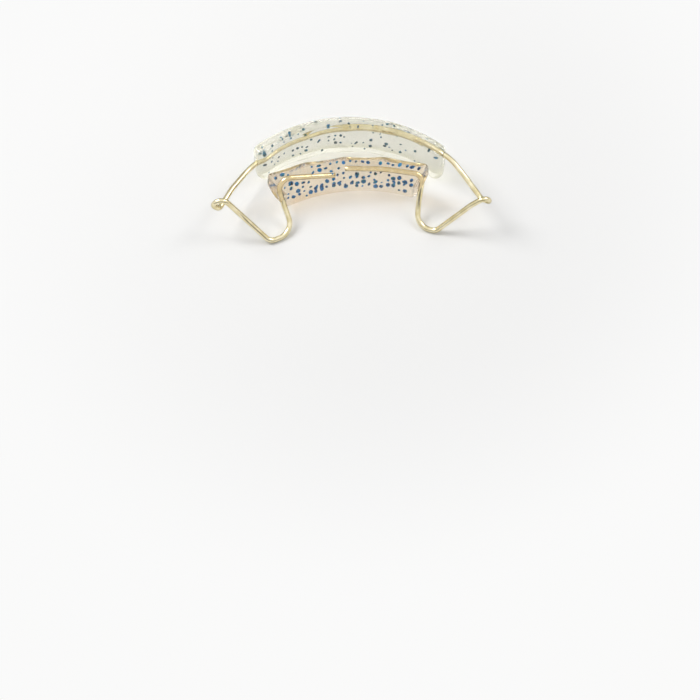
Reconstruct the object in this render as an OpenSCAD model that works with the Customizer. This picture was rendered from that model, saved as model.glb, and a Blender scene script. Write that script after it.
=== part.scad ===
// Spring aligner for the lower incisors: one bent spring wire that joins a lingual and a labial
// pad of clear acrylic with glitter cast in. Sizes are in millimetres.
// X runs to the wearer's right, Y forwards and Z up, towards the biting edges.
// The origin lies on the midline, halfway between the pads, in the plane that the part rests on.

/* [Wire] */
// Diameter of the spring wire
wire_d = 0.71; // [0.5:0.01:0.9]
// Bend radius where the left lead turns down out of the lingual pad
left_corner_bend_r = 2.2; // [1.6:0.1:2.6]
// Bend radius where the right lead turns down out of the lingual pad
right_corner_bend_r = 1.1; // [0.8:0.1:1.6]
// Bend radius at the inner corner of a loop's bottom
inner_bend_r = 2.1; // [1.8:0.1:2.4]
// Bend radius at the outer corner of a loop's bottom
outer_bend_r = 1.25; // [1:0.05:1.5]
// Bend radius where the wire crosses the tooth row
crossing_bend_r = 1.0; // [0.8:0.1:1.4]
// Bend radius of the turn on the outer side of the tooth row
turn_bend_r = 0.75; // [0.6:0.05:1]
// Bend radius of the wire's long gentle bends
gentle_bend_r = 6; // [4:0.5:8]

/* [Fit on the teeth] */
// Gap between the pads at the midline
gap = 4.4; // [4:0.1:6]
// Depth of each tooth's print in the pads
print_depth = 0.35; // [0.2:0.05:0.45]
// Width of a central incisor
central_w = 5.2; // [4.6:0.1:5.8]
// Width of a lateral incisor
lateral_w = 5.6; // [5:0.1:6.2]
// How far the dental midline lies to the side of the wire's midline
midline_shift = 0.45; // [0:0.05:1]

/* [Lingual pad] */
// Greatest thickness of the lingual pad
lingual_t = 2.2; // [2:0.05:2.6]
// Thickness of the lingual pad's upper edge
lingual_top_t = 0.9; // [0.8:0.05:1.3]
// Height of the lingual pad
lingual_h = 5.9; // [5.4:0.1:7]
// Height of the lingual pad's lower edge over the resting plane
lingual_lift = 0.9; // [0.6:0.1:1.6]
// Radius of the lingual pad's side that faces the teeth
lingual_r = 30.6; // [26:0.2:40]
// Radius of the lingual pad's free side, seen from above
lingual_free_r = 21; // [19:0.5:26]
// How far the lingual arc's middle lies to the side of the midline
lingual_shift = 1.2; // [0:0.1:2]
// Width of the lingual pad's upper edge to the left of the midline
lingual_top_left = 10.6; // [10.4:0.1:11.4]
// Width of the lingual pad's upper edge to the right of the midline
lingual_top_right = 10.7; // [10.5:0.1:11.4]
// How far each end of the lingual pad leans in at its lower edge
lingual_lean = 2.2; // [1.4:0.1:2.6]
// Radius of the rounded edges on the lingual pad's tooth side
lingual_edge_r = 0.3; // [0.2:0.05:0.4]
// Angle by which the lingual pad sits lower on the left
lingual_roll = 2.5; // [0:0.5:4]

/* [Labial pad] */
// Thickness of the labial pad
labial_t = 2.1; // [1.9:0.05:2.6]
// Height of the labial pad
labial_h = 6.5; // [6:0.1:8]
// Radius of the labial pad's outer side
labial_r = 19.6; // [18.4:0.1:22]
// Half the width of the labial pad
labial_half_w = 12.7; // [12:0.1:13.4]
// Height of the wire in the middle of the labial pad
bow_z = 5.2; // [4.4:0.1:5.4]
// How much lower the wire leaves the labial pad on the left than on the right
bow_drop = 2.4; // [1:0.1:2.6]
// Radius of the labial pad's rounded edges
labial_edge_r = 0.8; // [0.5:0.05:0.9]

/* [Loops] */
// How far the left loop's bottom lies behind the gap's middle
loop_back = 10.8; // [9.8:0.1:12]
// How much less far back the right loop's bottom lies
right_back_step = 1.25; // [0.2:0.05:1.6]

/* [Left loop] */
// Distance of the left free end from the midline
left_end_x = 1.8; // [1.4:0.1:3]
// Height of the left free end over the lingual pad's lower edge
left_end_rise = 2.85; // [2:0.05:3.6]
// Distance of the left lead's corner from the midline
left_corner_x = 9.4; // [9.2:0.1:9.8]
// Height of the left corner over the lingual pad's lower edge
left_corner_rise = 5.15; // [4.4:0.05:5.3]
// Distance of the left loop's bottom from the midline
left_loop_x = 8.95; // [8.5:0.05:9.6]
// Width of the left loop's bottom
left_loop_w = 3.4; // [2.8:0.1:4]
// Distance of the left crossing from the midline
left_cross_x = 16.4; // [15.6:0.1:16.9]
// Height of the left crossing's corner
left_cross_z = 7.1; // [6.6:0.1:8]
// Distance of the left turn's corner from the midline
left_out_x = 17.9; // [17.7:0.1:19]

/* [Right loop] */
// How far the right lead reaches past the midline
right_end_x = 0.4; // [0.1:0.1:1]
// Height of the right free end over the lingual pad's lower edge
right_end_rise = 4.2; // [3.4:0.1:4.6]
// Distance of the right lead's corner from the midline
right_corner_x = 9.9; // [9.6:0.1:10.1]
// Height of the right corner over the lingual pad's lower edge
right_corner_rise = 4.3; // [4:0.1:5]
// Distance of the right loop's bottom from the midline
right_loop_x = 10.2; // [9.8:0.1:10.8]
// Width of the right loop's bottom
right_loop_w = 2.5; // [2.2:0.1:3.4]
// Distance of the right crossing from the midline
right_cross_x = 17.6; // [16.8:0.1:17.8]
// Height of the right crossing's corner
right_cross_z = 6.8; // [6.5:0.1:8]
// Distance of the right turn's corner from the midline
right_out_x = 18.2; // [18.1:0.1:19.4]

/* [Glitter] */
// Width of the largest flake
flake_d = 0.76; // [0.6:0.02:0.77]
// Thickness of a flake
flake_t = 0.06; // [0.04:0.01:0.1]
// Spacing of the flakes in the lingual pad
lingual_pitch = 0.78; // [0.78:0.02:1.6]
// Spacing of the flakes in the labial pad
labial_pitch = 0.95; // [0.85:0.05:2]
// Thinnest acrylic over a flake
flake_cover = 0.08; // [0.04:0.02:0.12]

/* [Hidden] */
$fn = 48;
arc_fn = 240;

wire_r = wire_d / 2;
// Straights are a hair thinner than the bends and sit a little way into them.
seat_step = wire_d * 0.014;
seat = wire_d * 0.085;
wire_colour = [0.86, 0.8, 0.62];
pad_colour = [0.86, 0.84, 0.78, 0.5];
flake_colour = [0.04, 0.42, 0.66];

// Pad arcs: each is a ring sector about its own centre behind the pad.
lingual_centre = [lingual_shift, -gap / 2 - lingual_r];
lingual_back_r = lingual_r - lingual_t;
lingual_free_centre = [lingual_shift, -gap / 2 - lingual_t - lingual_free_r];
labial_centre = [0, gap / 2 + labial_t - labial_r];
labial_front_r = labial_r - labial_t;
labial_mid_r = labial_r - labial_t / 2;
labial_half_deg = asin((labial_half_w - labial_t / 2) / labial_mid_r);

// The lingual pad's free side bulges: it is thickest at a share of its height, and this is the
// radius of the bulge in its section.
bulge_share = 0.27;
bulge_z = lingual_h * bulge_share;
bulge_rise = lingual_h - bulge_z;
bulge_in = lingual_t - lingual_top_t;
bulge_r = (bulge_rise * bulge_rise + bulge_in * bulge_in) / (2 * bulge_in);
// Thickness of the lingual pad at a height
function lingual_depth(z) = lingual_t - bulge_r + sqrt(bulge_r * bulge_r - (z - bulge_z) * (z - bulge_z));

// A point of the lingual pad, by its place across, its depth from the tooth side and its height.
function roll(p) = [
    p.x * cos(lingual_roll) - p.z * sin(lingual_roll),
    p.y,
    p.x * sin(lingual_roll) + p.z * cos(lingual_roll)
];
function on_lingual(across, depth, rise) =
    let (r = lingual_r - depth, a = asin((across - lingual_shift) / r))
    roll([across, lingual_centre.y + r * cos(a), lingual_lift + rise]);
function between(a, b, shares) = [for (i = [0:2]) a[i] + (b[i] - a[i]) * shares[i]];

// Bow in the labial pad: one long arc, drawn by the corner where its two tangents meet.
bow_deg = 36.5;
bow_end_share = 0.12;
drop_left_share = 0.75;
bow_apex = [0, labial_centre.y + labial_mid_r / cos(bow_deg), bow_z];
bow_run = labial_mid_r * (tan(bow_deg) + bow_end_share / cos(bow_deg));
bow_side = bow_run * cos(bow_deg);
bow_back = bow_run * sin(bow_deg);
left_entry = bow_apex + [-bow_side, -bow_back, -bow_drop * drop_left_share];
right_entry = bow_apex + [bow_side, -bow_back, bow_drop * (1 - drop_left_share)];

// Left half of the wire, from its free end to the labial pad. Shares of the loop's reach back,
// of the crossing's height and of the turn's distance set the corners on the outer side.
wire_depth_share = 0.37;
wire_depth = lingual_t * wire_depth_share;
left_end = on_lingual(-left_end_x, wire_depth, left_end_rise);
left_corner = on_lingual(-left_corner_x, wire_depth, left_corner_rise);
left_skew_deg = 24;
left_side = [left_loop_w / 2 * cos(left_skew_deg), left_loop_w / 2 * sin(left_skew_deg), 0];
left_bottom = [-left_loop_x, -loop_back, wire_r];
left_inner = left_bottom + left_side;
left_outer = left_bottom - left_side;
left_back_shares = [0.81, 0.845, 0.83];
left_rise_shares = [1, 0.84, 0.67];
left_under_share = 0.95;
left_crossing = [-left_cross_x, -loop_back * left_back_shares[0], left_cross_z * left_rise_shares[0]];
left_turn = [-left_out_x, -loop_back * left_back_shares[1], left_cross_z * left_rise_shares[1]];
left_under = [
    -left_out_x * left_under_share,
    -loop_back * left_back_shares[2],
    left_cross_z * left_rise_shares[2]
];
left_knee_shares = [0.3, 0.27, 0.55];
left_slope_shares = [0.6, 0.75, 0.48];
left_arm_shares = [0.41, 0.47, 0.38];
left_route = [
    [left_end, 0],
    [left_corner, left_corner_bend_r],
    [between(left_corner, left_inner, left_knee_shares), gentle_bend_r],
    [left_inner, inner_bend_r],
    [left_outer, outer_bend_r],
    [between(left_outer, left_crossing, left_slope_shares), gentle_bend_r],
    [left_crossing, crossing_bend_r],
    [left_turn, turn_bend_r],
    [left_under, turn_bend_r],
    [between(left_under, left_entry, left_arm_shares), gentle_bend_r],
    [left_entry, gentle_bend_r]
];

// Right half of the wire, from its free end to the labial pad.
right_end = on_lingual(-right_end_x, wire_depth, right_end_rise);
right_corner = on_lingual(right_corner_x, wire_depth, right_corner_rise);
right_loop_back = loop_back - right_back_step;
right_lead_share = 0.48;
right_lead_x = -right_end_x + (right_corner_x + right_end_x) * right_lead_share;
right_lead_rise_share = 0.985;
right_lead_rise = right_end_rise * right_lead_rise_share;
right_lead = on_lingual(right_lead_x, wire_depth, right_lead_rise);
right_skew_deg = 17;
right_side = [right_loop_w / 2 * cos(right_skew_deg), -right_loop_w / 2 * sin(right_skew_deg), 0];
right_bottom = [right_loop_x, -right_loop_back, wire_r];
right_inner = right_bottom - right_side;
right_outer = right_bottom + right_side;
right_back_shares = [0.88, 0.87, 0.775];
right_rise_shares = [1, 0.8, 0.68];
right_under_share = 0.945;
right_crossing = [
    right_cross_x,
    -right_loop_back * right_back_shares[0],
    right_cross_z * right_rise_shares[0]
];
right_turn = [
    right_out_x,
    -right_loop_back * right_back_shares[1],
    right_cross_z * right_rise_shares[1]
];
right_under = [
    right_out_x * right_under_share,
    -right_loop_back * right_back_shares[2],
    right_cross_z * right_rise_shares[2]
];
right_knee_shares = [0.91, 0.49, 0.7];
right_slope_shares = [0.71, 0.8, 0.76];
right_arm_shares = [0.46, 0.5, 0.34];
right_route = [
    [right_end, 0],
    [right_lead, 2 * gentle_bend_r],
    [right_corner, right_corner_bend_r],
    [between(right_corner, right_inner, right_knee_shares), gentle_bend_r],
    [right_inner, inner_bend_r],
    [right_outer, outer_bend_r],
    [between(right_outer, right_crossing, right_slope_shares), gentle_bend_r],
    [right_crossing, crossing_bend_r],
    [right_turn, turn_bend_r],
    [right_under, turn_bend_r],
    [between(right_under, right_entry, right_arm_shares), gentle_bend_r],
    [right_entry, gentle_bend_r]
];

// The whole wire as corners with their bend radii.
route = concat(
    left_route,
    [[bow_apex, labial_mid_r]],
    [for (i = [len(right_route) - 1:-1:0]) right_route[i]]
);
last = len(route) - 1;
corner = [for (c = route) c[0]];
straight_share = 0.98;

function unit(v) = v / norm(v);
function heading(i) = unit(corner[i + 1] - corner[i]);
function turn(i) = acos(heading(i - 1) * heading(i));
// How far each wanted bend would reach along its two straights
reach = [for (i = [0:last]) i == 0 || i == last ? 0 : route[i][1] * tan(turn(i) / 2)];
// The share of the wanted bends that the straight after each corner has room for
room = [
    for (i = [0:last - 1])
        let (run = norm(corner[i + 1] - corner[i]) * straight_share)
        reach[i] + reach[i + 1] > run ? run / (reach[i] + reach[i + 1]) : 1
];
function fit(i) = i == 0 || i == last ? 1 : min(room[i - 1], room[i]);
function bend_start(i) = corner[i] - (i == 0 ? [0, 0, 0] : heading(i - 1) * reach[i] * fit(i));
function bend_end(i) = corner[i] + (i == last ? [0, 0, 0] : heading(i) * reach[i] * fit(i));
// Centre of the bend at a corner, and the direction from it to the bend's start
function bend_inward(i) = unit(heading(i) - heading(i - 1) * cos(turn(i)));
function bend_r(i) = route[i][1] * fit(i);
function bend_centre(i) = bend_start(i) + bend_inward(i) * bend_r(i);
function on_bend(i, a) =
    bend_centre(i) + bend_r(i) * (heading(i - 1) * sin(a) - bend_inward(i) * cos(a));

// Points along the wire's true path, for keeping the flakes clear of it
path_steps = 6;
path = concat(
    [corner[0]],
    [for (i = [1:last - 1]) for (k = [0:path_steps]) on_bend(i, turn(i) * k / path_steps)],
    [corner[last]]
);
function to_segment(p, a, b) =
    let (t = max(0, min(1, (p - a) * (b - a) / ((b - a) * (b - a))))) norm(p - a - t * (b - a));
function to_wire(p) = min([for (i = [1:len(path) - 1]) to_segment(p, path[i - 1], path[i])]);

// Straight piece of wire from one point to another, with a seat at each end in the bend there
module straight(a, b, seat_a, seat_b) {
    v = b - a;
    translate(a - unit(v) * seat_a)
        rotate([0, acos(v.z / norm(v)), atan2(v.y, v.x)])
            cylinder(h = norm(v) + seat_a + seat_b, d = wire_d - 2 * seat_step);
}

// Bent piece of wire at a corner of the route
module bend(i) {
    x = -bend_inward(i);
    y = heading(i - 1);
    z = cross(x, y);
    c = bend_centre(i);
    multmatrix([
        [x.x, y.x, z.x, c.x],
        [x.y, y.y, z.y, c.y],
        [x.z, y.z, z.z, c.z],
        [0, 0, 0, 1]
    ])
        rotate_extrude(angle = turn(i))
            translate([bend_r(i), 0]) circle(d = wire_d);
}

module wire_solid() {
    for (i = [0:last - 1])
        straight(bend_end(i), bend_start(i + 1), i == 0 ? 0 : seat, i == last - 1 ? 0 : seat);
    for (i = [1:last - 1]) bend(i);
}

module spring_wire() {
    color(wire_colour) wire_solid();
}

// Section of a pad: a rectangle with rounded corners, from x = 0 outwards and y = 0 upwards
module pad_section(w, h, r) {
    translate([r, 0]) square([w - 2 * r, h]);
    translate([0, r]) square([w, h - 2 * r]);
    for (x = [r, w - r], y = [r, h - r]) translate([x, y]) circle(r = r);
}

// Ring sector of a pad about the Z axis, from one heading to another, measured from +Y to the right
module pad_arc(inner_r, t, h, r, from, to) {
    rotate([0, 0, 90 - to])
        rotate_extrude(angle = to - from, $fn = arc_fn)
            translate([inner_r, 0]) pad_section(t, h, r);
}

// Rounded end of a pad: half a turn of half the section
module pad_end(t, h, r) {
    rotate_extrude(angle = 180)
        intersection() {
            translate([-t / 2, 0]) pad_section(t, h, r);
            square([t, h]);
        }
}

// Where the prints of the four incisors lie along a pad's arc, as headings about its centre
function print_headings(r, centre_x) = [
    for (x = [
        -central_w - lateral_w / 2, -central_w / 2, central_w / 2, central_w + lateral_w / 2
    ]) asin((x - midline_shift - centre_x) / r)
];
function print_widths() = [lateral_w, central_w, central_w, lateral_w];
// Radius of a round print of a given width and depth
function print_r(w) = (w * w / 4 + print_depth * print_depth) / (2 * print_depth);

// Prints of the incisors, pressed into the side of an arc of radius r, on its outer or inner side
module prints(r, centre_x, outward, h) {
    headings = print_headings(r, centre_x);
    for (i = [0:3]) {
        tooth_r = print_r(print_widths()[i]);
        rotate([0, 0, -headings[i]])
            translate([0, r + (outward ? tooth_r - print_depth : print_depth - tooth_r), -h])
                cylinder(h = 3 * h, r = tooth_r, $fn = arc_fn);
    }
}

// Places of flakes: each has a cell of its own in a pad's arc, so no two can meet. A flake is its
// heading, its height, its place through the thickness as a share, its width, its tilt, its nod,
// its spin, half the room that it takes through the thickness, and how narrow it is as a share.
// Most lie back and face upwards.
smallest_share = 0.4;
narrowest_share = 0.5;
flake_sides = 6;
labial_flake_share = 0.7;
edge_gap = 2 * flake_cover;
tilt_span_deg = 50;
nod_middle_deg = -35;
nod_span_deg = 50;
spin_span_deg = 60;
function flake_cells(seed, r, h, pitch, from, to, keep_shares, widest) =
    let (
        columns = floor(r * (to - from) * PI / 180 / pitch),
        rows = floor((h - 2 * edge_gap) / pitch),
        cell = (to - from) / columns,
        row = (h - 2 * edge_gap) / rows,
        draws = 9,
        draw = rands(0, 1, draws * columns * rows, seed)
    )
    [
        for (c = [0:columns - 1]) for (j = [0:rows - 1])
            let (
                k = draws * (c * rows + j),
                d = widest * (smallest_share + (1 - smallest_share) * draw[k]),
                tilt = tilt_span_deg * (draw[k + 1] - 1 / 2),
                nod = nod_middle_deg + nod_span_deg * (draw[k + 2] - 1 / 2),
                slant = sin(acos(cos(tilt) * cos(nod))),
                half = (d * slant + flake_t) / 2 + flake_cover,
                loose = (1 - d / pitch) * cell,
                a = from + (c + 1 / 2) * cell + loose * (draw[k + 3] - 1 / 2),
                z = edge_gap + (j + 1 / 2) * row + (row - d) * (draw[k + 4] - 1 / 2),
                keep = keep_shares[0] + (keep_shares[1] - keep_shares[0]) * c / columns
            )
            if (draw[k + 5] < keep) [
                a, z, draw[k + 6], d, tilt, nod, spin_span_deg * draw[k + 7], half,
                narrowest_share + (1 - narrowest_share) * draw[k + 8]
            ]
    ];
// Depth of a flake from the tooth side, where the pad is t thick
function flake_depth(f, t) = print_depth + f[7] + (t - print_depth - 2 * f[7]) * f[2];
function has_room(f, t) = t > print_depth + 2 * f[7];

// One flake, laid flat against an arc's radius, then tilted, nodded and spun
module flake(f, radius) {
    rotate([0, 0, -f[0]])
        translate([0, radius, f[1]])
            rotate([90 + f[5], 0, f[4]])
                rotate([0, 0, f[6]])
                    linear_extrude(height = flake_t, center = true)
                        polygon([
                            for (a = [0:360 / flake_sides:359])
                                [f[3] / 2 * cos(a), f[3] / 2 * f[8] * sin(a)]
                        ]);
}

function clear_of_wire(p, d) = to_wire(p) > wire_r + d / 2 + flake_cover;

lingual_seed = 41;
lingual_keep_shares = [0.8, 1.3];
lingual_from = asin((-lingual_top_left - lingual_shift) / lingual_back_r);
lingual_to = asin((lingual_top_right - lingual_shift) / lingual_back_r);
// Thickness of the lingual pad where it is thinnest beside a flake
function lingual_room(f) =
    min(lingual_depth(f[1] + f[3] / 2), lingual_depth(f[1] - f[3] / 2));
function lingual_flake_r(f) = lingual_r - flake_depth(f, lingual_room(f));
function lingual_spot(f) =
    let (r = lingual_flake_r(f))
    [lingual_shift + r * sin(f[0]), lingual_centre.y + r * cos(f[0]), lingual_lift + f[1]];
// Whether a flake stays clear of the lingual pad's ends and its upper and lower edges
function inside_lingual(f) =
    let (
        clear = f[3] / 2 + flake_cover,
        x = lingual_spot(f).x,
        lean = lingual_lean * (1 - f[1] / lingual_h) + lingual_edge_r
    )
    has_room(f, lingual_room(f))
    && x - clear > lean - lingual_top_left
    && x + clear < lingual_top_right - lean
    && f[1] > clear
    && f[1] < lingual_h - clear;
lingual_flake_list = [
    for (f = flake_cells(
        lingual_seed, lingual_back_r, lingual_h, lingual_pitch, lingual_from, lingual_to,
        lingual_keep_shares, flake_d
    ))
        if (inside_lingual(f) && clear_of_wire(roll(lingual_spot(f)), f[3])) f
];

labial_seed = 7;
labial_keep_shares = [0.8, 0.5];
function labial_flake_r(f) = labial_front_r + flake_depth(f, labial_t);
function labial_spot(f) =
    let (r = labial_flake_r(f)) [r * sin(f[0]), labial_centre.y + r * cos(f[0]), f[1]];
// Whether a flake stays inside the rounded edges of the labial pad
function inside_labial(f) =
    let (
        depth = flake_depth(f, labial_t),
        over_t = abs(depth - labial_t / 2) + f[7] - labial_t / 2 + labial_edge_r,
        over_h = abs(f[1] - labial_h / 2) + f[3] / 2 + flake_cover - labial_h / 2 + labial_edge_r
    )
    has_room(f, labial_t) && norm([max(0, over_t), max(0, over_h)]) < labial_edge_r;
labial_flake_list = [
    for (f = flake_cells(
        labial_seed, labial_front_r, labial_h, labial_pitch, -labial_half_deg, labial_half_deg,
        labial_keep_shares, flake_d * labial_flake_share
    ))
        if (inside_labial(f) && clear_of_wire(labial_spot(f), f[3])) f
];

module lingual_flake_solids() {
    rotate([0, -lingual_roll, 0])
        translate([lingual_centre.x, lingual_centre.y, lingual_lift])
            for (f = lingual_flake_list) flake(f, lingual_flake_r(f));
}

module labial_flake_solids() {
    translate([0, labial_centre.y, 0])
        for (f = labial_flake_list) flake(f, labial_flake_r(f));
}

// Outline of the lingual pad seen from behind, with its leaning ends, as a slab along Y
module lingual_outline() {
    depth = lingual_r;
    rotate([90, 0, 0])
        linear_extrude(height = depth)
            polygon([
                [-lingual_top_left, lingual_lift + lingual_h],
                [lingual_lean - lingual_top_left, lingual_lift],
                [lingual_top_right - lingual_lean, lingual_lift],
                [lingual_top_right, lingual_lift + lingual_h]
            ]);
}

// Ring whose inner side bulges like the lingual pad's free side, taller and wider than the pad
module bulged_ring() {
    rotate_extrude($fn = arc_fn)
        intersection() {
            translate([lingual_free_r + bulge_r, bulge_z]) circle(r = bulge_r, $fn = arc_fn);
            translate([0, -lingual_h]) square([lingual_free_r + bulge_r, 3 * lingual_h]);
        }
}

module lingual_body() {
    margin_deg = 3;
    block_t = 2 * lingual_t;
    difference() {
        intersection() {
            translate([lingual_centre.x, lingual_centre.y, lingual_lift])
                pad_arc(
                    lingual_r - block_t, block_t, lingual_h, lingual_edge_r,
                    lingual_from - margin_deg, lingual_to + margin_deg
                );
            translate([lingual_free_centre.x, lingual_free_centre.y, lingual_lift]) bulged_ring();
            lingual_outline();
        }
        translate([lingual_centre.x, lingual_centre.y, 0])
            prints(lingual_r, lingual_shift, true, lingual_h);
    }
}

module labial_body() {
    translate([0, labial_centre.y, 0])
        difference() {
            union() {
                pad_arc(
                    labial_front_r, labial_t, labial_h, labial_edge_r,
                    -labial_half_deg, labial_half_deg
                );
                rotate([0, 0, 90 + labial_half_deg])
                    translate([labial_mid_r, 0, 0]) pad_end(labial_t, labial_h, labial_edge_r);
                rotate([0, 0, 90 - labial_half_deg])
                    translate([labial_mid_r, 0, 0])
                        mirror([0, 1, 0]) pad_end(labial_t, labial_h, labial_edge_r);
            }
            prints(labial_front_r, 0, false, labial_h);
        }
}

module lingual_pad() {
    color(pad_colour)
        difference() {
            rotate([0, -lingual_roll, 0]) lingual_body();
            wire_solid();
            lingual_flake_solids();
        }
}

module labial_pad() {
    color(pad_colour)
        difference() {
            labial_body();
            wire_solid();
            labial_flake_solids();
        }
}

module lingual_flakes() {
    color(flake_colour) lingual_flake_solids();
}

module labial_flakes() {
    color(flake_colour) labial_flake_solids();
}

spring_wire();
lingual_pad();
labial_pad();
lingual_flakes();
labial_flakes();
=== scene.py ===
"""Looks of the spring aligner: polished wire, clear acrylic pads and blue glitter on a pale floor."""

import math
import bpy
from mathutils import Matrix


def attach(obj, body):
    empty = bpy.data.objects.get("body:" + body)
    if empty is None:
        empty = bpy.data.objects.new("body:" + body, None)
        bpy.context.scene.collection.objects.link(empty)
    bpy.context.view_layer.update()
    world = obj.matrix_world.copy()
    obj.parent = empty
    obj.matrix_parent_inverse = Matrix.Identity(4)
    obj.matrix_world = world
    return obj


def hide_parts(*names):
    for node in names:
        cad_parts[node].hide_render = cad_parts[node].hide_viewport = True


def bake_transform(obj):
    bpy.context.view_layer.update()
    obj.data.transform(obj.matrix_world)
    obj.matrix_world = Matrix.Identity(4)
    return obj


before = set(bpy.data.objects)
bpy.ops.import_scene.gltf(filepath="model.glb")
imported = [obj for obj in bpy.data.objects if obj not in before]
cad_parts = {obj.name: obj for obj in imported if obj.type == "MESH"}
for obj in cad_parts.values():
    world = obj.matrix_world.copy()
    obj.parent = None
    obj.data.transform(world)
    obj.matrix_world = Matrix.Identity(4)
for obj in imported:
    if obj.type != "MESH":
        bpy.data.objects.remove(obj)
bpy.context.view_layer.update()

from types import SimpleNamespace

import bmesh
import bpy
from mathutils import Matrix, Vector, noise

MM = 0.001

# Sizes of the wire in millimetres, the same as the construction's
WIRE_D = 0.71
INNER_BEND_R = 2.1
OUTER_BEND_R = 1.25
CROSSING_BEND_R = 1.0
TURN_BEND_R = 0.75
GENTLE_BEND_R = 6.0
STRAIGHT_SHARE = 0.98

# The wire's two sides, with x counted outwards from the middle. The shares are of loop_back, of
# cross_z and of out_x, or of the way from one corner to the next in x, y and z. Only the right
# lead has a point of its own in the pad, at shares of its length and of its end's height.
LEFT = SimpleNamespace(
    side=-1, end_x=1.8, end_rise=2.85, corner_x=9.4, corner_rise=5.15, corner_bend_r=2.2,
    loop_x=8.95, loop_back=10.8, loop_w=3.4, skew=math.radians(24),
    cross_x=16.4, cross_z=7.1, out_x=17.9, lead_shares=None,
    back_shares=(0.81, 0.845, 0.83), rise_shares=(1, 0.84, 0.67), under_share=0.95,
    knee_shares=(0.3, 0.27, 0.55), slope_shares=(0.6, 0.75, 0.48), arm_shares=(0.41, 0.47, 0.38),
)
RIGHT = SimpleNamespace(
    side=1, end_x=-0.4, end_rise=4.2, corner_x=9.9, corner_rise=4.3, corner_bend_r=1.1,
    loop_x=10.2, loop_back=9.55, loop_w=2.5, skew=math.radians(17),
    cross_x=17.6, cross_z=6.8, out_x=18.2, lead_shares=(0.48, 0.985),
    back_shares=(0.88, 0.87, 0.775), rise_shares=(1, 0.8, 0.68), under_share=0.945,
    knee_shares=(0.91, 0.49, 0.7), slope_shares=(0.71, 0.8, 0.76), arm_shares=(0.46, 0.5, 0.34),
)

# Sizes of the pads in millimetres, the same as the construction's
GAP = 4.4
PRINT_DEPTH = 0.35
CENTRAL_W = 5.2
LATERAL_W = 5.6
MIDLINE_SHIFT = 0.45
LINGUAL_T = 2.2
LINGUAL_TOP_T = 0.9
LINGUAL_H = 5.9
LINGUAL_LIFT = 0.9
LINGUAL_R = 30.6
LINGUAL_FREE_R = 21.0
LINGUAL_SHIFT = 1.2
LINGUAL_TOP_LEFT = 10.6
LINGUAL_TOP_RIGHT = 10.7
LINGUAL_LEAN = 2.2
LINGUAL_ROLL = math.radians(2.5)
LINGUAL_EDGE_R = 0.3
BULGE_SHARE = 0.27
WIRE_DEPTH_SHARE = 0.37
LABIAL_T = 2.1
LABIAL_H = 6.5
LABIAL_R = 19.6
LABIAL_HALF_W = 12.7
LABIAL_EDGE_R = 0.8
BOW_Z = 5.2
BOW_DROP = 2.4
DROP_LEFT_SHARE = 0.75
BOW_ANGLE = math.radians(36.5)
BOW_END_SHARE = 0.12

# Places and sizes that follow from these
BULGE_Z = LINGUAL_H * BULGE_SHARE
BULGE_IN = LINGUAL_T - LINGUAL_TOP_T
BULGE_R = ((LINGUAL_H - BULGE_Z) ** 2 + BULGE_IN ** 2) / (2 * BULGE_IN)
WIRE_DEPTH = LINGUAL_T * WIRE_DEPTH_SHARE
LINGUAL_LENGTH = LINGUAL_TOP_LEFT + LINGUAL_TOP_RIGHT
LINGUAL_CENTRE = Vector((LINGUAL_SHIFT, -GAP / 2 - LINGUAL_R, LINGUAL_LIFT))
LINGUAL_FREE_Y = -GAP / 2 - LINGUAL_T - LINGUAL_FREE_R
LABIAL_CENTRE = Vector((0, GAP / 2 + LABIAL_T - LABIAL_R, 0))
LABIAL_TOOTH_R = LABIAL_R - LABIAL_T
LABIAL_MID_R = LABIAL_R - LABIAL_T / 2
LABIAL_CAP_R = LABIAL_T / 2
LABIAL_HALF_ANGLE = math.asin((LABIAL_HALF_W - LABIAL_CAP_R) / LABIAL_MID_R)
LABIAL_LENGTH = 2 * LABIAL_HALF_ANGLE * LABIAL_MID_R + 2 * LABIAL_CAP_R

# The incisors whose prints the pads carry: distance of each from the dental midline, and width
INCISORS = (
    (-CENTRAL_W - LATERAL_W / 2, LATERAL_W), (-CENTRAL_W / 2, CENTRAL_W),
    (CENTRAL_W / 2, CENTRAL_W), (CENTRAL_W + LATERAL_W / 2, LATERAL_W),
)

# The smooth wire, a little thinner so that it stays inside the construction's box
WIRE_SPARE = 0.004
WIRE_R = WIRE_D / 2 - WIRE_SPARE
WIRE_SIDES = 28
PATH_STEP = 0.6
PATH_STEP_ANGLE = math.radians(4)
CUT_EDGE_SHARE = 0.3
CUT_EDGE = WIRE_R * CUT_EDGE_SHARE
CUT_EDGE_STEPS = 4

# The smooth pads: rows between the ends and in each end, and the rounding of their outlines
LINGUAL_ROWS, LINGUAL_END_ROWS = 150, 8
LABIAL_ROWS, LABIAL_END_ROWS = 190, 12
OUTLINE_STEP = 0.3
OUTLINE_ARC_STEPS = 6
SHARP = 0.01
BULGE_STEPS = 7
BULGE_END_R = 0.35
BULGE_BEND_R = 1.6
LINGUAL_END_R = 0.5
LABIAL_TIP_SHARE = 0.01
PRINT_EDGE_W = 0.06

# Waves of the hand-polished skin, in millimetres. They are shorter through a pad's thickness, and
# other ones on the labial pad, where they are read at another height.
WAVE_SIZE = 3.0
WAVE_DEPTH = 0.03
WAVE_SQUEEZE = 3
LABIAL_WAVE_SHIFT = 20

# Colours as a picture shows them, 0 to 255
WIRE_DARK = (230, 216, 170)
WIRE_PALE = (252, 243, 212)
WIRE_RIM = (158, 146, 100)
LINGUAL_TINT = (229, 218, 202)
LINGUAL_HAZE = (226, 206, 186)
LABIAL_TINT = (229, 228, 218)
LABIAL_HAZE = (222, 222, 212)

# Share of each pad's light that the haze scatters
LINGUAL_HAZE_SHARE = 0.025
LABIAL_HAZE_SHARE = 0.04

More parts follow.
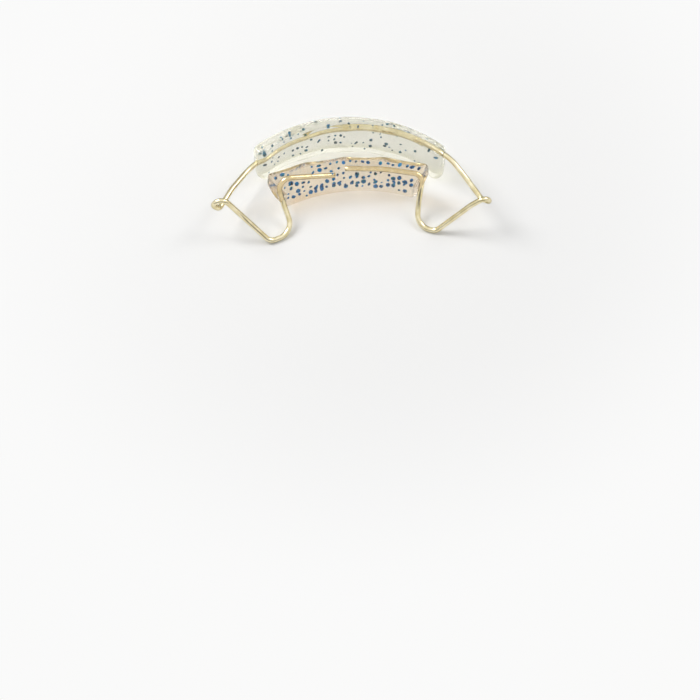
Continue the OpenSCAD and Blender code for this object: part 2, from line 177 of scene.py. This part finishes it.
# Tones of the flakes, each with the share of the flakes at which it begins
BLUE_TONES = (
    (0.0, (0, 112, 186)), (0.3, (0, 134, 206)), (0.52, (0, 62, 122)),
    (0.76, (0, 120, 142)), (0.9, (0, 32, 58)),
)
PALE_TONES = (
    (0.0, (40, 100, 130)), (0.3, (0, 124, 186)), (0.45, (58, 74, 80)),
    (0.75, (76, 124, 134)), (0.92, (20, 56, 76)),
)

# Floor and surroundings, with lengths in metres. The floor fades into the backdrop between two
# distances from the middle. Reflections see a sky whose brightness follows from the length of the
# direction after its x, y and z are weighted.
FLOOR_HALF = 2.0
FLOOR_COLOUR = (0.93, 0.93, 0.925, 1)
FADE_START, FADE_END = 0.024, 0.06
BACKDROP = (0.956, 0.956, 0.953, 1)
SOFT_LIGHT = 0.42
GLOSS_WEIGHTS = (0.65, 0.2, 1)
GLOSS_LEVELS = ((0.22, 0.14), (0.48, 0.36), (0.7, 0.86), (1.0, 1.0))
GLOSS_BLUE_SHARE = 0.97

# Camera: where the part's middle lies in the 700 pixel picture, and how far away it is
PICTURE = 700
PART_MIDDLE = Vector((0.1, -3.75, 3.4)) * MM
PART_MIDDLE_PX = (350.5, 179.0)
CAMERA_DISTANCE = 0.2
FOCAL_PX = 1500
VIEW_RISE = math.radians(60)
SENSOR = 36
CLIP_START, CLIP_END = 0.001, 10


def roll(p):
    """Turns a point with the lingual pad, which sits a little lower on the left."""
    c, s = math.cos(LINGUAL_ROLL), math.sin(LINGUAL_ROLL)
    return Vector((p.x * c - p.z * s, p.y, p.x * s + p.z * c))


def on_lingual(across, depth, rise):
    """A point in the lingual pad, by its place across, its depth from the teeth and its height."""
    r = LINGUAL_R - depth
    angle = math.asin((across - LINGUAL_SHIFT) / r)
    return roll(Vector((across, LINGUAL_CENTRE.y + r * math.cos(angle), LINGUAL_LIFT + rise)))


def between(a, b, shares):
    """A point on the way from one point to another, with a share of the way in each direction."""
    return Vector([a[i] + (b[i] - a[i]) * shares[i] for i in range(3)])


def bow_corners():
    """The corner of the labial bow's two tangents, and the wire's corner beside the pad on each
    side of it, from left to right."""
    apex = Vector((0, LABIAL_CENTRE.y + LABIAL_MID_R / math.cos(BOW_ANGLE), BOW_Z))
    run = LABIAL_MID_R * (math.tan(BOW_ANGLE) + BOW_END_SHARE / math.cos(BOW_ANGLE))
    across, back = run * math.cos(BOW_ANGLE), -run * math.sin(BOW_ANGLE)
    left = apex + Vector((-across, back, -BOW_DROP * DROP_LEFT_SHARE))
    right = apex + Vector((across, back, BOW_DROP * (1 - DROP_LEFT_SHARE)))
    return left, apex, right


def loop_corners(s):
    """The inner and outer corner of the bottom of a side's loop."""
    half = Vector((s.side * s.loop_w / 2 * math.cos(s.skew), -s.loop_w / 2 * math.sin(s.skew), 0))
    bottom = Vector((s.side * s.loop_x, -s.loop_back, WIRE_D / 2))
    return bottom - half, bottom + half


def side_route(s, entry):
    """Corners and bend radii from a side's free end to its entry into the labial pad."""
    route = [(on_lingual(s.side * s.end_x, WIRE_DEPTH, s.end_rise), 0)]
    if s.lead_shares:
        along, up = s.lead_shares
        lead_x = s.side * (s.end_x + (s.corner_x - s.end_x) * along)
        route.append((on_lingual(lead_x, WIRE_DEPTH, s.end_rise * up), 2 * GENTLE_BEND_R))
    corner = on_lingual(s.side * s.corner_x, WIRE_DEPTH, s.corner_rise)
    inner, outer = loop_corners(s)
    distances = (s.cross_x, s.out_x, s.out_x * s.under_share)
    crossing, turn, under = (
        Vector((s.side * x, -s.loop_back * back, s.cross_z * rise))
        for x, back, rise in zip(distances, s.back_shares, s.rise_shares))
    return route + [
        (corner, s.corner_bend_r),
        (between(corner, inner, s.knee_shares), GENTLE_BEND_R),
        (inner, INNER_BEND_R),
        (outer, OUTER_BEND_R),
        (between(outer, crossing, s.slope_shares), GENTLE_BEND_R),
        (crossing, CROSSING_BEND_R),
        (turn, TURN_BEND_R),
        (under, TURN_BEND_R),
        (between(under, entry, s.arm_shares), GENTLE_BEND_R),
        (entry, GENTLE_BEND_R),
    ]


def rounded_path(route):
    """Points along a route whose corners are rounded by their bend radii. Bends shrink where the
    straight beside them is too short for them."""
    points = [corner for corner, r in route]
    n = len(points)
    heading = [(points[i + 1] - points[i]).normalized() for i in range(n - 1)]
    turn = [0] + [heading[i - 1].angle(heading[i]) for i in range(1, n - 1)] + [0]
    reach = [r * math.tan(t / 2) for (corner, r), t in zip(route, turn)]
    room = []
    for i in range(n - 1):
        run = (points[i + 1] - points[i]).length * STRAIGHT_SHARE
        wanted = reach[i] + reach[i + 1]
        room.append(run / wanted if wanted > run else 1)
    path = [points[0]]
    for i in range(1, n - 1):
        fit = min(room[i - 1], room[i])
        radius = route[i][1] * fit
        start = points[i] - heading[i - 1] * reach[i] * fit
        inward = (heading[i] - heading[i - 1] * math.cos(turn[i])).normalized()
        centre = start + inward * radius
        add_straight(path, start)
        steps = max(2, math.ceil(turn[i] / PATH_STEP_ANGLE))
        for k in range(1, steps + 1):
            a = turn[i] * k / steps
            path.append(centre + radius * (heading[i - 1] * math.sin(a) - inward * math.cos(a)))
    add_straight(path, points[-1])
    return path


def add_straight(path, end):
    """Adds evenly spaced points from the path's last point to a new end."""
    start = path[-1]
    steps = max(1, round((end - start).length / PATH_STEP))
    for k in range(1, steps + 1):
        path.append(start.lerp(end, k / steps))


def new_piece(name, verts, faces):
    """A smooth closed piece whose faces look outwards. Faces of more than four corners stay flat."""
    mesh = bpy.data.meshes.new(name)
    mesh.from_pydata([v * MM for v in verts], [], faces)
    mesh.validate()
    form = bmesh.new()
    form.from_mesh(mesh)
    if form.calc_volume(signed=True) < 0:
        bmesh.ops.reverse_faces(form, faces=form.faces)
    for face in form.faces:
        face.smooth = len(face.verts) <= 4
    form.to_mesh(mesh)
    form.free()
    obj = bpy.data.objects.new(name, mesh)
    bpy.context.scene.collection.objects.link(obj)
    return obj


def quads(rings, sides):
    """Faces between rings of points: for each its two corners on one ring, then those on the next."""
    for i in range(rings - 1):
        for k in range(sides):
            a, b = i * sides + k, i * sides + (k + 1) % sides
            yield a, b, b + sides, a + sides


class Station:
    """A place along the wire: its middle, its direction and two directions across."""

    def __init__(self, middle, ahead, up):
        self.middle, self.ahead, self.up = middle, ahead, up
        self.side = ahead.cross(up)


class Ring:
    """Points round the wire at a station, drawn along it by an inset. Only a whole ring has the
    wire's full radius."""

    def __init__(self, station, radius=WIRE_R, inset=0):
        self.middle = station.middle
        self.whole = radius == WIRE_R
        self.points = []
        for k in range(WIRE_SIDES):
            a = 2 * math.pi * k / WIRE_SIDES
            across = math.cos(a) * station.up + math.sin(a) * station.side
            self.points.append(station.middle + station.ahead * inset + radius * across)


def stations(path):
    """Stations for each point of a path, turning with the wire but never twisting round it."""
    out = []
    for i, point in enumerate(path):
        before, after = path[max(0, i - 1)], path[min(len(path) - 1, i + 1)]
        ahead = (after - before).normalized()
        if out:
            up = out[-1].ahead.rotation_difference(ahead) @ out[-1].up
        else:
            up = ahead.orthogonal().normalized()
        out.append(Station(point, ahead, up))
    return out


def cut_edge(station, way):
    """Rings of a cut end's broken edge, from the end face on. way is 1 at the wire's start and -1
    at its end."""
    rings = []
    for k in range(CUT_EDGE_STEPS):
        angle = k / CUT_EDGE_STEPS * math.pi / 2
        radius = WIRE_R - CUT_EDGE * (1 - math.sin(angle))
        rings.append(Ring(station, radius, way * CUT_EDGE * (1 - math.cos(angle))))
    return rings


def tube(name, places, cut_start=False, cut_end=False):
    """A stretch of wire. A cut end has its edge broken, and any other end is a flat face."""
    rings = [Ring(place) for place in places]
    if cut_start:
        rings[:1] = cut_edge(places[0], 1)
    if cut_end:
        rings[-1:] = reversed(cut_edge(places[-1], -1))
    verts = [point for ring in rings for point in ring.points]
    faces = list(quads(len(rings), WIRE_SIDES))
    faces.append(tuple(reversed(range(WIRE_SIDES))))
    faces.append(tuple(range(len(verts) - WIRE_SIDES, len(verts))))
    obj = new_piece(name, verts, faces)
    round_normals(obj.data, rings)
    return obj


def round_normals(mesh, rings):
    """Lets light fall on the wire as on a true round, away from its cut ends and flat faces."""
    normals = []
    for face in mesh.polygons:
        for vertex in face.vertices:
            ring = rings[vertex // WIRE_SIDES]
            if ring.whole and len(face.vertices) <= 4:
                normals.append((ring.points[vertex % WIRE_SIDES] - ring.middle).normalized())
            else:
                normals.append((0, 0, 0))
    mesh.normals_split_custom_set(normals)


def nearest(path, corners):
    """The number of the path's point that is nearest to the middle of two corners."""
    middle = (corners[0] + corners[1]) / 2
    return min(range(len(path)), key=lambda i: (path[i] - middle).length)


def add_wire():
    """The wire in three stretches, which meet at the bottoms of the loops."""
    left_entry, apex, right_entry = bow_corners()
    left, right = side_route(LEFT, left_entry), side_route(RIGHT, right_entry)
    path = rounded_path(left + [(apex, LABIAL_MID_R)] + right[::-1])
    first, second = (nearest(path, loop_corners(s)) for s in (LEFT, RIGHT))
    places = stations(path)
    return (
        tube("left_lead", places[:first + 1], cut_start=True),
        tube("bow_and_arms", places[first:second + 1]),
        tube("right_lead", places[second:], cut_end=True),
    )


def print_at(centre_x, r, heading):
    """Depth of the incisors' prints at a heading of a pad's arc."""
    depth = 0
    for place, width in INCISORS:
        middle = math.asin((place - MIDLINE_SHIFT - centre_x) / r)
        off = r * (heading - middle)
        tooth_r = (width * width / 4 + PRINT_DEPTH * PRINT_DEPTH) / (2 * PRINT_DEPTH)
        if abs(off) < tooth_r:
            depth = max(depth, PRINT_DEPTH - tooth_r + math.sqrt(tooth_r ** 2 - off ** 2))
    return depth


def rounded_outline(corners):
    """Points round a closed outline with rounded corners, each given as (x, y, radius)."""
    n = len(corners)
    points = []
    for i in range(n):
        here, r = Vector(corners[i][:2]), corners[i][2]
        back = (Vector(corners[i - 1][:2]) - here).normalized()
        on = (Vector(corners[(i + 1) % n][:2]) - here).normalized()
        turn = math.pi - back.angle(on)
        if r < SHARP or turn < SHARP:
            arc = [here]
        else:
            reach = r * math.tan(turn / 2)
            start = here + back * reach
            middle = here + (back + on).normalized() * (r / math.cos(turn / 2))
            arc = []
            for k in range(OUTLINE_ARC_STEPS + 1):
                a = turn * k / OUTLINE_ARC_STEPS
                out = (start - middle) * math.cos(a) - back * r * math.sin(a)
                arc.append(middle + out)
        if points:
            points += side_points(points[-1], arc[0])
        points += arc
    return points + side_points(points[-1], points[0])


def side_points(start, end):
    """Evenly spaced points between two points of an outline, without these two."""
    gap = end - start
    steps = max(1, round(gap.length / OUTLINE_STEP))
    return [start + gap * k / steps for k in range(1, steps)]


def soft_max(a, b):
    """The larger of two numbers, with a rounded changeover."""
    d = abs(a - b)
    return max(a, b) + (max(0, PRINT_EDGE_W - d) ** 2) / (4 * PRINT_EDGE_W)


def waver(along, depth, height):
    """How far the hand-polished skin dips at a place on a pad."""
    place = Vector((along, depth * WAVE_SQUEEZE, height))
    return WAVE_DEPTH * (0.5 + 0.5 * noise.noise(place / WAVE_SIZE))


def spread(count, end_count, length, end_length):
    """Distances of the rows along a pad: close together at both ends, even between them."""
    ends = [end_length * (1 - math.cos(math.pi / 2 * k / end_count)) for k in range(end_count)]
    middle = [end_length + (length - 2 * end_length) * k / count for k in range(count + 1)]
    return ends + middle + [length - s for s in reversed(ends)]


def fullness(near, r):
    """How full a rounded end is at a distance from its tip: 0 at the tip, 1 past the rounding."""
    return 1 if near >= r else math.sqrt(max(0, 1 - (1 - near / r) ** 2))


def closed_strip(name, rows):
    """A closed piece from rows of section points, with a fan at each end."""
    verts = [point for row in rows for point in row]
    n = len(rows[0])
    faces = [(a, d, c, b) for a, b, c, d in quads(len(rows), n)]
    for row, first, flip in ((rows[0], 0, False), (rows[-1], (len(rows) - 1) * n, True)):
        tip = len(verts)
        verts.append(sum(row, Vector()) / n)
        for k in range(n):
            a, b = first + k, first + (k + 1) % n
            faces.append((tip, b, a) if flip else (tip, a, b))
    return new_piece(name, verts, faces)


def bulge_depth(height):
    """Thickness of the lingual pad at a height: its free side bulges."""
    return LINGUAL_T - BULGE_R + math.sqrt(BULGE_R ** 2 - (height - BULGE_Z) ** 2)


def lingual_section():
    """Outline of the lingual pad's section: depth from the tooth side, and height."""
    bulge = []
    for k in range(BULGE_STEPS + 1):
        height = LINGUAL_H * (1 - k / BULGE_STEPS)
        r = BULGE_END_R if k in (0, BULGE_STEPS) else BULGE_BEND_R
        bulge.append((bulge_depth(height), height, r))
    return rounded_outline([(0, LINGUAL_H, LINGUAL_EDGE_R)] + bulge + [(0, 0, LINGUAL_EDGE_R)])


def lingual_point(s, depth, height):
    """A point of the lingual pad's surface: on an arc, with leaning ends, thicker where its free
    side curves more, and marked by the incisors."""
    lean = LINGUAL_LEAN * (1 - height / LINGUAL_H)
    left, right = lean - LINGUAL_TOP_LEFT, LINGUAL_TOP_RIGHT - lean
    x = left + (right - left) * s / LINGUAL_LENGTH
    across = x - LINGUAL_SHIFT
    tooth_y = LINGUAL_CENTRE.y + math.sqrt(LINGUAL_R ** 2 - across ** 2)
    free_y = LINGUAL_FREE_Y + math.sqrt(LINGUAL_FREE_R ** 2 - across ** 2)
    thicker = (tooth_y - free_y) / LINGUAL_T
    mark = print_at(LINGUAL_SHIFT, LINGUAL_R, math.asin(across / LINGUAL_R))
    dip = waver(s, depth, height) * depth / LINGUAL_T
    y = tooth_y - soft_max(depth * thicker - dip, mark)
    return roll(Vector((x, y, LINGUAL_LIFT + height)))


def lingual_acrylic():
    """The lingual pad. Its section draws in towards its middle where the ends are rounded."""
    outline = lingual_section()
    centre = Vector((LINGUAL_T / 2, LINGUAL_H / 2))
    rows = []
    for s in spread(LINGUAL_ROWS, LINGUAL_END_ROWS, LINGUAL_LENGTH, LINGUAL_END_R):
        near = min(s, LINGUAL_LENGTH - s)
        inset = LINGUAL_END_R * (1 - fullness(near, LINGUAL_END_R))
        row = []
        for depth, height in outline:
            depth += inset * (centre.x - depth) / centre.x
            height += inset * (centre.y - height) / centre.y
            row.append(lingual_point(s, depth, height))
        rows.append(row)
    return closed_strip("lingual_acrylic", rows)


def labial_acrylic():
    """The labial pad: a longer arc with rounded ends, and the incisors' prints on its back."""
    outline = rounded_outline([
        (0, LABIAL_H, LABIAL_EDGE_R / 2), (LABIAL_T, LABIAL_H, LABIAL_EDGE_R),
        (LABIAL_T, 0, LABIAL_EDGE_R), (0, 0, LABIAL_EDGE_R / 2),
    ])
    rows = []
    for s in spread(LABIAL_ROWS, LABIAL_END_ROWS, LABIAL_LENGTH, LABIAL_CAP_R):
        near = min(s, LABIAL_LENGTH - s)
        narrow = max(LABIAL_TIP_SHARE, fullness(near, LABIAL_CAP_R))
        inset = LABIAL_EDGE_R * (1 - fullness(near, LABIAL_EDGE_R))
        heading = (s - LABIAL_LENGTH / 2) / LABIAL_MID_R
        mark = print_at(0, LABIAL_TOOTH_R, heading)
        row = []
        for depth, height in outline:
            depth = LABIAL_CAP_R + (depth - LABIAL_CAP_R) * narrow
            height += inset * (1 - 2 * height / LABIAL_H)
            dip = waver(s, depth, height + LABIAL_WAVE_SHIFT) * depth / LABIAL_T * narrow
            r = LABIAL_TOOTH_R + soft_max(depth - dip, mark)
            row.append(LABIAL_CENTRE + Vector((r * math.sin(heading), r * math.cos(heading), height)))
        rows.append(row)
    return closed_strip("labial_acrylic", rows)


class Nodes:
    """Short forms for building the nodes of a material or the world, which is the owner."""

    def __init__(self, owner, output="ShaderNodeOutputMaterial"):
        self.owner = owner
        owner.use_nodes = True
        self.tree = owner.node_tree
        self.tree.nodes.clear()
        self.output = self.add(output)

    def add(self, kind, sockets=None, **settings):
        """A node of a kind, with values for some of its sockets and settings."""
        node = self.tree.nodes.new(kind)
        for key, value in settings.items():
            setattr(node, key, value)
        for key, value in (sockets or {}).items():
            node.inputs[key].default_value = value
        return node

    def link(self, a, b):
        self.tree.links.new(a, b)

    def end_with(self, shader):
        """Makes a shader the surface of the owner, and gives back the owner."""
        self.link(shader, self.output.inputs["Surface"])
        return self.owner

    def noise(self, scale, detail):
        """Noise in the piece's own space."""
        place = self.add("ShaderNodeTexCoord")
        node = self.add("ShaderNodeTexNoise", {"Scale": scale, "Detail": detail})
        self.link(place.outputs["Object"], node.inputs["Vector"])
        return node.outputs["Fac"]

    def ramp(self, value, stops, interpolation="LINEAR"):
        """Colours by a value, from stops of a value and a colour each."""
        node = self.add("ShaderNodeValToRGB")
        ramp = node.color_ramp
        ramp.interpolation = interpolation
        while len(ramp.elements) < len(stops):
            ramp.elements.new(0.5)
        for element, (place, colour) in zip(ramp.elements, stops):
            element.position = place
            element.color = colour
        self.link(value, node.inputs["Fac"])
        return node.outputs["Color"]

    def bump(self, height, strength, distance):
        """Normals that follow a height. The distance is in metres."""
        node = self.add("ShaderNodeBump", {"Strength": strength, "Distance": distance})
        self.link(height, node.inputs["Height"])
        return node.outputs["Normal"]

    def any_ray(self, *kinds):
        """1 for light of any of some kinds, such as Is Camera Ray, and 0 for the rest."""
        path = self.add("ShaderNodeLightPath")
        share = path.outputs[kinds[0]]
        for kind in kinds[1:]:
            either = self.add("ShaderNodeMath", operation="MAXIMUM")
            self.link(share, either.inputs[0])
            self.link(path.outputs[kind], either.inputs[1])
            share = either.outputs[0]
        return share

    def mix(self, share, first, second):
        """A mix of two shaders. The share of the second is a number or comes from a node."""
        node = self.add("ShaderNodeMixShader")
        if isinstance(share, float):
            node.inputs["Fac"].default_value = share
        else:
            self.link(share, node.inputs["Fac"])
        self.link(first, node.inputs[1])
        self.link(second, node.inputs[2])
        return node.outputs["Shader"]


def linear(rgb):
    """A colour as a picture shows it, 0 to 255, as the shader's linear values."""
    out = []
    for v in rgb:
        v /= 255
        out.append(v / 12.92 if v <= 0.04045 else ((v + 0.055) / 1.055) ** 2.4)
    return (*out, 1)


def grey(level):
    return (level, level, level, 1)


def wire_material():
    """Polished steel with a warm cast: darker towards its edges, and with fine drawing marks."""
    n = Nodes(bpy.data.materials.new("spring_wire_steel"))
    shader = n.add("ShaderNodeBsdfPrincipled", {"Metallic": 1.0, "Specular Tint": linear(WIRE_RIM)})
    tone = n.ramp(n.noise(scale=900, detail=3), ((0.3, linear(WIRE_DARK)), (0.7, linear(WIRE_PALE))))
    n.link(tone, shader.inputs["Base Color"])
    marks = n.noise(scale=5000, detail=2)
    n.link(n.ramp(marks, ((0.3, grey(0.11)), (0.7, grey(0.21)))), shader.inputs["Roughness"])
    n.link(n.bump(marks, strength=0.15, distance=0.00002), shader.inputs["Normal"])
    return n.end_with(shader.outputs["BSDF"])


def acrylic_material(name, tint, haze_share, haze):
    """Clear cast acrylic: tinted all through, with a polished skin and a little haze. It refracts
    less than real acrylic, so that wire and flakes show straight, and the coat keeps the gloss."""
    n = Nodes(bpy.data.materials.new(name))
    clear = n.add("ShaderNodeBsdfPrincipled", {
        "Roughness": 0.04, "IOR": 1.12, "Transmission Weight": 1.0, "Base Color": linear(tint),
        "Coat Weight": 0.7, "Coat IOR": 1.49, "Coat Roughness": 0.07,
    })
    cloudy = n.add("ShaderNodeBsdfPrincipled", {"Roughness": 0.25, "Base Color": linear(haze)})
    skin = n.bump(n.noise(scale=700, detail=3), strength=0.12, distance=0.00005)
    for socket in (clear.inputs["Normal"], clear.inputs["Coat Normal"], cloudy.inputs["Normal"]):
        n.link(skin, socket)
    body = n.mix(haze_share, clear.outputs["BSDF"], cloudy.outputs["BSDF"])
    passing = n.add("ShaderNodeBsdfTransparent", {"Color": linear(tint)})
    return n.end_with(n.mix(n.any_ray("Is Shadow Ray"), body, passing.outputs["BSDF"]))


def glitter_material(name, tones):
    """Film flakes, each of which takes one of the tones."""
    n = Nodes(bpy.data.materials.new(name))
    shader = n.add("ShaderNodeBsdfPrincipled", {"Roughness": 0.5, "Specular IOR Level": 0.3})
    flake = n.add("ShaderNodeNewGeometry").outputs["Random Per Island"]
    stops = [(start, linear(tone)) for start, tone in tones]
    n.link(n.ramp(flake, stops, interpolation="CONSTANT"), shader.inputs["Base Color"])
    return n.end_with(shader.outputs["BSDF"])


def dress(obj, material):
    obj.data.materials.clear()
    obj.data.materials.append(material)


def add_camera():
    """The photograph's view: the camera turns only about x, and the part lies off its axis."""
    data = bpy.data.cameras.new("camera")
    data.sensor_width = SENSOR
    data.lens = SENSOR * FOCAL_PX / PICTURE
    data.clip_start, data.clip_end = CLIP_START, CLIP_END
    cam = bpy.data.objects.new("camera", data)
    bpy.context.scene.collection.objects.link(cam)
    right_px = PART_MIDDLE_PX[0] - PICTURE / 2
    up_px = PICTURE / 2 - PART_MIDDLE_PX[1]
    axis_rise = VIEW_RISE + math.atan(up_px / FOCAL_PX)
    turn = Matrix.Rotation(math.pi / 2 - axis_rise, 4, "X")
    ray = turn.to_3x3() @ Vector((right_px, up_px, -FOCAL_PX)).normalized()
    cam.matrix_world = Matrix.Translation(PART_MIDDLE - ray * CAMERA_DISTANCE) @ turn
    bpy.context.scene.camera = cam


def floor_material():
    """A matt floor. Seen straight, in a reflection or through the acrylic it fades to the backdrop
    further out, and everywhere else it stays a floor that light falls on."""
    n = Nodes(bpy.data.materials.new("floor"))
    near = n.add("ShaderNodeBsdfPrincipled", {"Roughness": 0.8, "Base Color": FLOOR_COLOUR})
    far = n.add("ShaderNodeEmission", {"Color": BACKDROP})
    place = n.add("ShaderNodeTexCoord")
    distance = n.add("ShaderNodeVectorMath", operation="LENGTH")
    n.link(place.outputs["Object"], distance.inputs[0])
    fade = n.add("ShaderNodeMapRange", {"From Min": FADE_START, "From Max": FADE_END},
                 interpolation_type="SMOOTHSTEP")
    n.link(distance.outputs["Value"], fade.inputs["Value"])
    share = n.add("ShaderNodeMath", operation="MULTIPLY")
    n.link(fade.outputs["Result"], share.inputs[0])
    n.link(n.any_ray("Is Camera Ray", "Is Glossy Ray", "Is Transmission Ray"), share.inputs[1])
    return n.end_with(n.mix(share.outputs[0], near.outputs["BSDF"], far.outputs["Emission"]))


def add_floor():
    half = FLOOR_HALF
    mesh = bpy.data.meshes.new("floor")
    mesh.from_pydata([(-half, -half, 0), (half, -half, 0), (half, half, 0), (-half, half, 0)],
                     [], [(0, 1, 2, 3)])
    floor = bpy.data.objects.new("floor", mesh)
    bpy.context.scene.collection.objects.link(floor)
    dress(floor, floor_material())


def add_light(name, place, size, power):
    """A rectangular lamp that shines on the part's middle."""
    data = bpy.data.lights.new(name, "AREA")
    data.shape = "RECTANGLE"
    data.size, data.size_y = size
    data.energy = power
    lamp = bpy.data.objects.new(name, data)
    lamp.location = place
    lamp.rotation_mode = "QUATERNION"
    lamp.rotation_quaternion = (PART_MIDDLE - Vector(place)).to_track_quat("-Z", "Y")
    bpy.context.scene.collection.objects.link(lamp)


def add_world():
    """Soft light all round. The camera and what shows through the acrylic see a pale backdrop, and
    reflections a sky that is bright above and dark low down in front and behind."""
    world = bpy.data.worlds.new("studio")
    bpy.context.scene.world = world
    n = Nodes(world, "ShaderNodeOutputWorld")
    soft = n.add("ShaderNodeBackground", {"Color": grey(1), "Strength": SOFT_LIGHT})
    seen = n.add("ShaderNodeBackground", {"Color": BACKDROP})
    gloss = n.add("ShaderNodeBackground")
    place = n.add("ShaderNodeTexCoord")
    weighted = n.add("ShaderNodeVectorMath", {1: GLOSS_WEIGHTS}, operation="MULTIPLY")
    n.link(place.outputs["Generated"], weighted.inputs[0])
    length = n.add("ShaderNodeVectorMath", operation="LENGTH")
    n.link(weighted.outputs["Vector"], length.inputs[0])
    stops = [(where, (level, level, level * GLOSS_BLUE_SHARE, 1)) for where, level in GLOSS_LEVELS]
    n.link(n.ramp(length.outputs["Value"], stops), gloss.inputs["Color"])
    lit = n.mix(n.any_ray("Is Glossy Ray"), soft.outputs[0], gloss.outputs[0])
    clear = n.any_ray("Is Camera Ray", "Is Transmission Ray")
    n.end_with(n.mix(clear, lit, seen.outputs[0]))


add_camera()
add_world()
add_floor()
add_light("key", place=(-0.26, 0.1, 0.34), size=(0.17, 0.24), power=1.05)
add_light("fill", place=(0.24, 0.1, 0.3), size=(0.12, 0.2), power=0.35)

steel = wire_material()
left_lead, bow, right_lead = add_wire()
for piece in (left_lead, bow, right_lead):
    dress(piece, steel)
    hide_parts("spring_wire")
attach(left_lead, "lingual")
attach(right_lead, "lingual")
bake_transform(bow)

lingual = lingual_acrylic()
dress(lingual, acrylic_material("lingual_acrylic", LINGUAL_TINT, LINGUAL_HAZE_SHARE, LINGUAL_HAZE))
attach(lingual, "lingual")
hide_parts("lingual_pad")

labial = labial_acrylic()
dress(labial, acrylic_material("labial_acrylic", LABIAL_TINT, LABIAL_HAZE_SHARE, LABIAL_HAZE))
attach(labial, "labial")
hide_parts("labial_pad")

# The flakes keep the construction's meshes and only change their material
glitter = {
    "lingual_flakes": glitter_material("blue_glitter", BLUE_TONES),
    "labial_flakes": glitter_material("pale_glitter", PALE_TONES),
}
for name, material in glitter.items():
    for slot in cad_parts[name].material_slots:
        slot.material = material

bpy.context.scene.view_settings.view_transform = "Standard"
